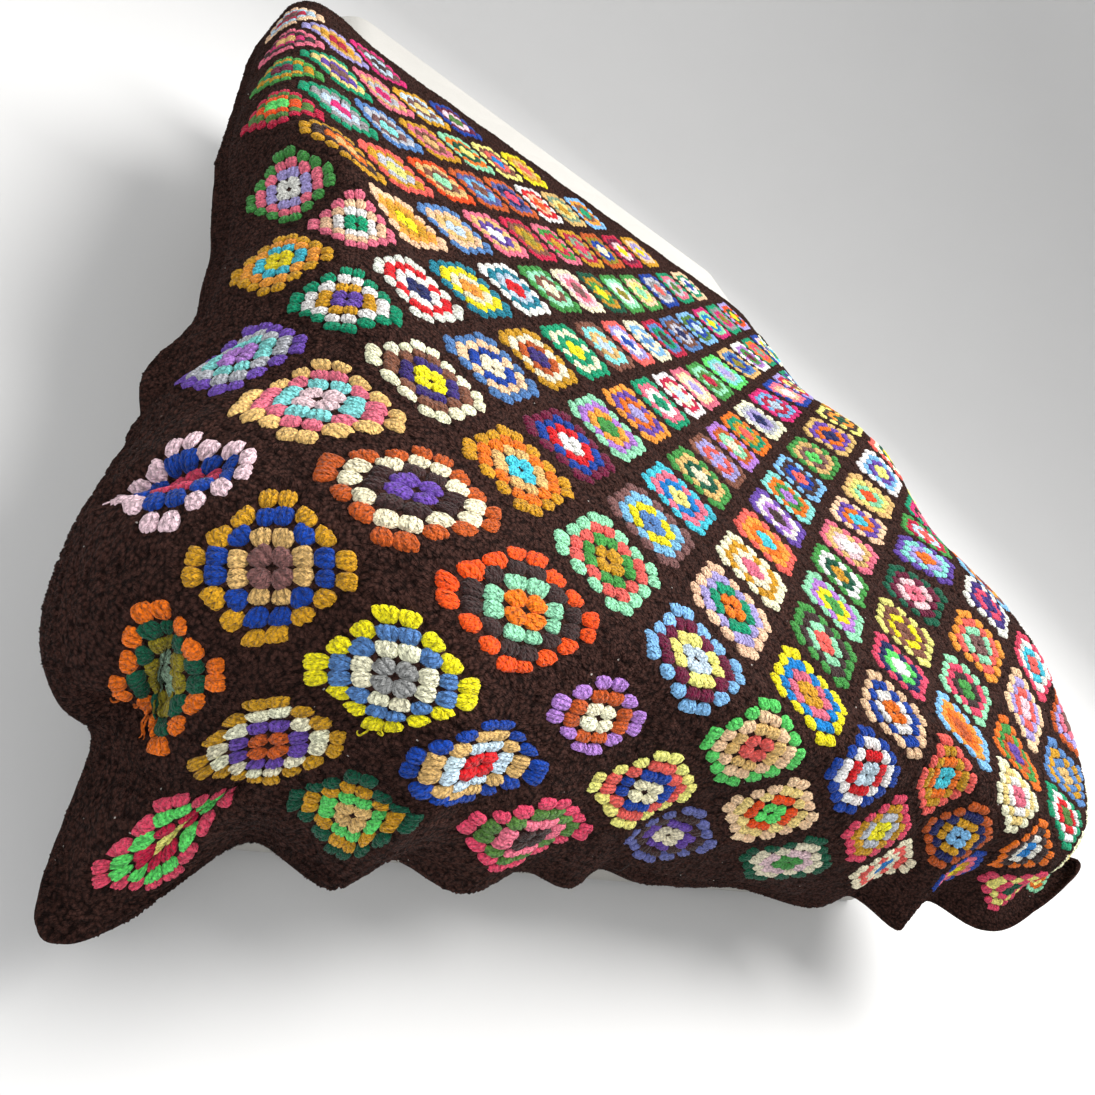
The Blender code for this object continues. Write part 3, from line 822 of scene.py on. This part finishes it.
feet, tops, widths, _ = cluster_rows(whole, 5)
feet, tops, widths = (np.concatenate(pair) for pair in zip((feet, tops, widths), unseen))
clusters.append(cluster_mesh("ground_round", feet, tops, widths, ground_yarn, None, 0.0030, 6, 4,
                             1.6, 0.4))

# the half squares that straighten the zigzag sides, and three rows of edging round all
runs = [cluster_rows(partial, number, within=True) for number in (1, 2, 3, 4, 5)]
feet = [r[0] for r in runs]
tops = [r[1] for r in runs]
widths = [r[2] for r in runs]


def edging_row(depth, pitch):
    """Feet and tops of the stitches of one edging row, whose top is depth inside the edge."""
    reach = EDGING / 3
    low, high = np.array([A_LOW, B_LOW]) + depth, np.array([A_HIGH, B_HIGH]) - depth
    radius = max(CORNER_ROUND - depth, 0.02)
    straight = high - low - 2 * radius
    arc = radius * math.pi / 2
    stretches = [straight[0], arc, straight[1], arc] * 2
    total = sum(stretches[:4]) * 2
    count = int(total / pitch)
    rows = []
    for k in range(count):
        s, side = k * total / count, 0
        lengths = [straight[0], arc, straight[1], arc, straight[0], arc, straight[1], arc]
        while s > lengths[side]:
            s -= lengths[side]
            side += 1
        quarter, on_arc = divmod(side, 2)
        angle = quarter * math.pi / 2
        corners = [(low[0] + radius, low[1] + radius), (high[0] - radius, low[1] + radius),
                   (high[0] - radius, high[1] - radius), (low[0] + radius, high[1] - radius)]
        ahead = np.array([math.cos(angle), math.sin(angle)])
        out = np.array([math.sin(angle), -math.cos(angle)])
        if on_arc:
            pivot = np.array(corners[(quarter + 1) % 4])
            t = s / radius
            out = out * math.cos(t) + ahead * math.sin(t)
            edge = pivot + out * radius
        else:
            edge = np.array(corners[quarter]) + ahead * s + out * radius
        rows.append((edge - out * reach, edge))
    return np.array([r[0] for r in rows]), np.array([r[1] for r in rows])


for depth in (0.0026, EDGING / 3 + 0.0010, EDGING * 2 / 3):
    f, t = edging_row(depth, 0.0110)
    feet.append(f)
    tops.append(t)
    widths.append(np.full(len(f), 0.0122))
clusters.append(cluster_mesh("half_squares_and_edging", np.concatenate(feet), np.concatenate(tops),
                             np.concatenate(widths), ground_yarn, None, 0.0026, 6, 4,
                             1.6, 0.4))

# ---- the backing sheet, which is the cloth itself: dark brown like the joining yarn, and painted shade in the holes between the clusters ---
# finer over the creased left corner than elsewhere
lines_a = np.concatenate([np.linspace(A_LOW, 0.6 * DIAGONAL, 71)[:-1],
                          np.linspace(0.6 * DIAGONAL, A_HIGH, 116)])
lines_b = np.concatenate([np.linspace(B_LOW, -0.1 * DIAGONAL, 96)[:-1],
                          np.linspace(-0.1 * DIAGONAL, B_HIGH, 96)])
grid_a, grid_b = np.meshgrid(lines_a, lines_b, indexing="ij")
flat_a, flat_b = round_corner(grid_a, grid_b, (A_LOW, B_LOW), (A_HIGH, B_HIGH), [CORNER_ROUND] * 4)
# drawn in a little, so that the edging's scallops stand past it
shrink = 0.0008
flat_a = flat_a + shrink * (1 - 2 * (flat_a - A_LOW) / (A_HIGH - A_LOW))
flat_b = flat_b + shrink * (1 - 2 * (flat_b - B_LOW) / (B_HIGH - B_LOW))
wide, deep = grid_a.shape
count = wide * deep
upper = place(flat_a, flat_b, GROUND_HIGH)[0]
lower = place(flat_a, flat_b, GROUND_LOW)[0]
k = (np.arange(wide - 1)[:, None] * deep + np.arange(deep - 1)).ravel()
top_faces = np.stack([k, k + 1, k + deep + 1, k + deep], -1)
under_faces = top_faces[:, ::-1] + count
ring = ([i * deep for i in range(wide)] + [(wide - 1) * deep + j for j in range(1, deep)]
        + [i * deep + deep - 1 for i in range(wide - 2, -1, -1)] + list(range(deep - 2, 0, -1)))
ring = np.array(ring)
after = np.roll(ring, -1)
side_faces = np.stack([ring, after, after + count, ring + count], -1)
sheet_uv = np.stack([flat_a.ravel() / 0.0072, flat_b.ravel() / 0.013], 1)
# its dark brown shows between the clusters as painted shade in the holes of the crochet
sheet = mesh_object("blanket_ground_and_hole_shade", np.concatenate([upper, lower]),
                    np.concatenate([top_faces, under_faces, side_faces]), ground_yarn,
                    np.concatenate([sheet_uv, sheet_uv]))

# ---- the mattress: quilted ticking on the solid's own form ---------------------------------
def mattress_mesh(name, material):
    low = np.array([MATTRESS_LEFT, MATTRESS_FOOT])
    high = low + (BED_WIDTH, BED_LENGTH)
    shares = np.array([0.0, 0.03, 0.08, 0.16, 0.27, 0.42, 0.62, 0.82])

    def lines_of(start, end, inner):
        edge = MATTRESS_EDGE
        return np.concatenate([start + edge * shares,
                               np.linspace(start + edge, end - edge, inner + 1),
                               end - edge * shares[::-1]])

    gx, gy = np.meshgrid(lines_of(low[0], high[0], 84), lines_of(low[1], high[1], 116), indexing="ij")
    gap = np.minimum(np.minimum(gx - low[0], high[0] - gx), np.minimum(gy - low[1], high[1] - gy))
    radii = (FOOT_CORNER, OTHER_FOOT_CORNER, MATTRESS_CORNER, MATTRESS_CORNER)
    x, y = round_corner(gx, gy, low, high, radii)
    near = np.clip(MATTRESS_EDGE - gap, 0, MATTRESS_EDGE)
    drop = MATTRESS_EDGE - np.sqrt(MATTRESS_EDGE**2 - near**2)
    # quilting: shallow diamond channels, and a seam near the edge, all sunk below the solid
    span = 0.16
    one = np.abs(((x + y) / span) % 1 - 0.5)
    two = np.abs(((x - y) / span) % 1 - 0.5)
    channel = np.exp(-((0.5 - one) * span / 0.010) ** 2) + np.exp(-((0.5 - two) * span / 0.010) ** 2)
    inside = np.clip((gap - MATTRESS_EDGE) / 0.03, 0, 1)
    seam = np.exp(-(((drop - 0.022) / 0.005) ** 2)) * (gap < MATTRESS_EDGE)
    sink = 0.0022 * np.minimum(channel, 1.0) * inside + 0.0022 * seam + 0.0006
    top = BED_TOP - UNDER_CLOTH + swell(x, y) - wear(x, y) - drop - sink
    z_low = BED_TOP - MATTRESS_DEEP
    under = z_low + drop + 0.0004
    nx, ny = gx.shape
    cx, cy = low[0] + BED_WIDTH / 2, low[1] + BED_LENGTH / 2
    pull = 0.0012 + 0.0022 * seam
    sx = x - np.sign(x - cx) * pull * (near > 0)
    sy = y - np.sign(y - cy) * pull * (near > 0)
    upper = np.stack([sx, sy, top], -1).reshape(-1, 3)
    lower = np.stack([sx, sy, under], -1).reshape(-1, 3)
    move = SHIFT * (1, 1, 0)
    points = np.concatenate([upper, lower]) + move
    k = (np.arange(nx - 1)[:, None] * ny + np.arange(ny - 1)).ravel()
    tops_ = np.stack([k, k + ny, k + ny + 1, k + 1], -1)
    unders = tops_[:, ::-1] + nx * ny
    ring = np.array([i * ny for i in range(nx)] + [(nx - 1) * ny + j for j in range(1, ny)]
                    + [i * ny + ny - 1 for i in range(nx - 2, -1, -1)] + list(range(ny - 2, 0, -1)))
    after = np.roll(ring, -1)
    walls = np.stack([ring, ring + nx * ny, after + nx * ny, after], -1)
    return mesh_object(name, points, np.concatenate([tops_, unders, walls]), material)


ticking = cloth_material("ticking", (194, 192, 187), 0.0016, 0.05)
mattress = mattress_mesh("mattress_cover", ticking)
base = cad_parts["bed_base"]
base_cloth = cloth_material("base_cloth", (184, 181, 175), 0.0028, 0.1)
base.data.materials.clear()
base.data.materials.append(base_cloth)

# ---- loose yarn ends ------------------------------------------------------------------------
# start on the flat cloth in diagonals, direction in degrees, length in metres, curl and yarn
TAILS = (
    (-0.84, 1.56, 110, 0.014, 1.6, "orange"),
    (-0.78, 1.60, 60, 0.012, -1.4, "orange"),
    (-0.62, 1.66, 150, 0.016, 1.8, "olive"),
    (-0.58, 1.64, 20, 0.014, -1.8, "olive"),
    (-0.70, 1.66, 88, 0.034, 0.15, "orange"),
    (-0.68, 1.68, 96, 0.026, -0.1, "orange"),
    (0.44, 1.85, 60, 0.016, 1.6, "yellow"),
    (0.49, 1.86, 20, 0.014, -1.8, "yellow"),
    (2.45, 2.94, 75, 0.030, 0.5, "ground"),
)


def tail_mesh(name, material):
    """Thin tubes that curl over the cloth, joined into one mesh."""
    points, faces, colours, sides, radius = [], [], [], 6, 0.0009
    for a0, b0, degrees, length, curl, yarn in TAILS:
        t = np.linspace(0, 1, 15)
        angle = math.radians(degrees) + curl * 2.2 * t + 0.5 * np.sin(9 * t)
        step = length / 14
        a = a0 * DIAGONAL + np.concatenate([[0], np.cumsum(np.cos(angle[:-1]))]) * step
        b = b0 * DIAGONAL + np.concatenate([[0], np.cumsum(np.sin(angle[:-1]))]) * step
        line, normal = place(a, b, 0.0040 + 0.0025 * np.sin(math.pi * t) ** 2)
        ahead = np.gradient(line, axis=0)
        ahead /= np.linalg.norm(ahead, axis=1, keepdims=True)
        beside = np.cross(ahead, normal)
        beside /= np.linalg.norm(beside, axis=1, keepdims=True)
        over = np.cross(beside, ahead)
        thin = radius * (1 - 0.55 * t**4)
        first = sum(len(ring) for ring in points)
        for k in range(15):
            turns = 2 * math.pi * np.arange(sides) / sides
            points.append(line[k] + thin[k] * (np.cos(turns)[:, None] * beside[k]
                                               + np.sin(turns)[:, None] * over[k]))
        for k in range(14):
            for m in range(sides):
                near = first + k * sides + m
                after = first + k * sides + (m + 1) % sides
                faces.append((near, near + sides, after + sides, after))
        for at, order in ((first, (0, 1, 2, 3, 3, 4, 5, 0)), (first + 14 * sides, (3, 2, 1, 0, 0, 5, 4, 3))):
            faces += [tuple(at + o for o in order[:4]), tuple(at + o for o in order[4:])]
        colours.append(np.tile(linear(YARNS[yarn]), (15 * sides, 1)))
    points = np.concatenate(points)
    uv = np.stack([np.arange(len(points)) % sides / 2, np.arange(len(points)) // sides / 2], 1)
    return mesh_object(name, points, np.array(faces), material, uv, np.concatenate(colours))


clusters.append(tail_mesh("loose_yarn_ends", coloured_yarn))

# ---- riding and replacing -------------------------------------------------------------------
for piece in [sheet, *clusters, mattress]:
    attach(piece, "root")
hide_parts("blanket")
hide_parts("mattress")

# ---- floor, light and camera -----------------------------------------------------------------
# a wide floor that curves up all round into a wall, seen as one even backdrop
profile = [(0.0, 0.0), (3.0, 0.0), (5.0, 0.0)]
profile += [(5.0 + 3.0 * math.sin(t), 3.0 - 3.0 * math.cos(t)) for t in np.linspace(0.12, math.pi / 2, 12)]
profile += [(8.0, 4.5), (8.0, 6.5)]
around = np.linspace(0, 2 * math.pi, 97)[:-1]
bowl = [(0.0, 0.0, 0.0)] + [(r * math.cos(t), r * math.sin(t), z) for r, z in profile[1:] for t in around]
bowl_faces = [(0, 1 + k, 1 + (k + 1) % 96) for k in range(96)]
bowl_faces += [(1 + m * 96 + k, 1 + (m + 1) * 96 + k, 1 + (m + 1) * 96 + (k + 1) % 96, 1 + m * 96 + (k + 1) % 96)
               for m in range(len(profile) - 2) for k in range(96)]
floor_mesh = bpy.data.meshes.new("floor")
floor_mesh.from_pydata(bowl, [], bowl_faces)
floor_mesh.shade_smooth()
floor = bpy.data.objects.new("floor", floor_mesh)
scene.collection.objects.link(floor)
n = Nodes("floor_paint")
where = n.add("ShaderNodeTexCoord").outputs["Object"]
n.finish(n.mix(n.noise(where, 1.5, 2.0), (0.67, 0.67, 0.67, 1), (0.69, 0.69, 0.69, 1)), 0.9,
         n.bump(n.noise(where, 60.0, 2.0), 0.0005, 0.1))
floor_mesh.materials.append(n.material)

world = bpy.data.worlds.new("studio")
world.use_nodes = True
world.node_tree.nodes["Background"].inputs["Color"].default_value = (1.0, 1.0, 1.0, 1)
world.node_tree.nodes["Background"].inputs["Strength"].default_value = 0.80
scene.world = world


def area_light(name, at, aim, size, power, colour=(1, 1, 1)):
    data = bpy.data.lights.new(name, "AREA")
    data.shape, data.size, data.energy, data.color = "DISK", size, power, colour
    lamp = bpy.data.objects.new(name, data)
    scene.collection.objects.link(lamp)
    lamp.location = at
    lamp.rotation_mode = "QUATERNION"
    lamp.rotation_quaternion = (Vector(aim) - Vector(at)).to_track_quat("-Z", "Y")
    return lamp


area_light("key", (1.6, -0.3, 4.1), (0.0, -0.1, 0.4), 2.8, 290, (1.0, 0.985, 0.96))
area_light("fill", (-1.8, -2.4, 2.2), (0, -0.3, 0.4), 2.4, 26, (0.96, 0.98, 1.0))

camera_data = bpy.data.cameras.new("camera")
camera = bpy.data.objects.new("camera", camera_data)
scene.collection.objects.link(camera)
# from low in front of the left foot corner, looking along the bed, with the camera rolled
EYE = np.array([-0.161, -0.552, 0.352]) + SHIFT
heading, pitch, roll = math.radians(38.15), math.radians(-30.93), math.radians(42.8)
level = Vector((math.cos(heading), -math.sin(heading), 0))
ahead = Vector((math.sin(heading) * math.cos(pitch), math.cos(heading) * math.cos(pitch), math.sin(pitch)))
upright = level.cross(ahead)
right = level * math.cos(roll) + upright * math.sin(roll)
above = upright * math.cos(roll) - level * math.sin(roll)
camera.matrix_world = Matrix(((right.x, above.x, -ahead.x, EYE[0]), (right.y, above.y, -ahead.y, EYE[1]),
                              (right.z, above.z, -ahead.z, EYE[2]), (0, 0, 0, 1)))
camera_data.sensor_width = 36.0
camera_data.lens = 24.2
camera_data.clip_start, camera_data.clip_end = 0.02, 200
camera_data.dof.use_dof = False
scene.camera = camera
scene.view_settings.view_transform = "Standard"
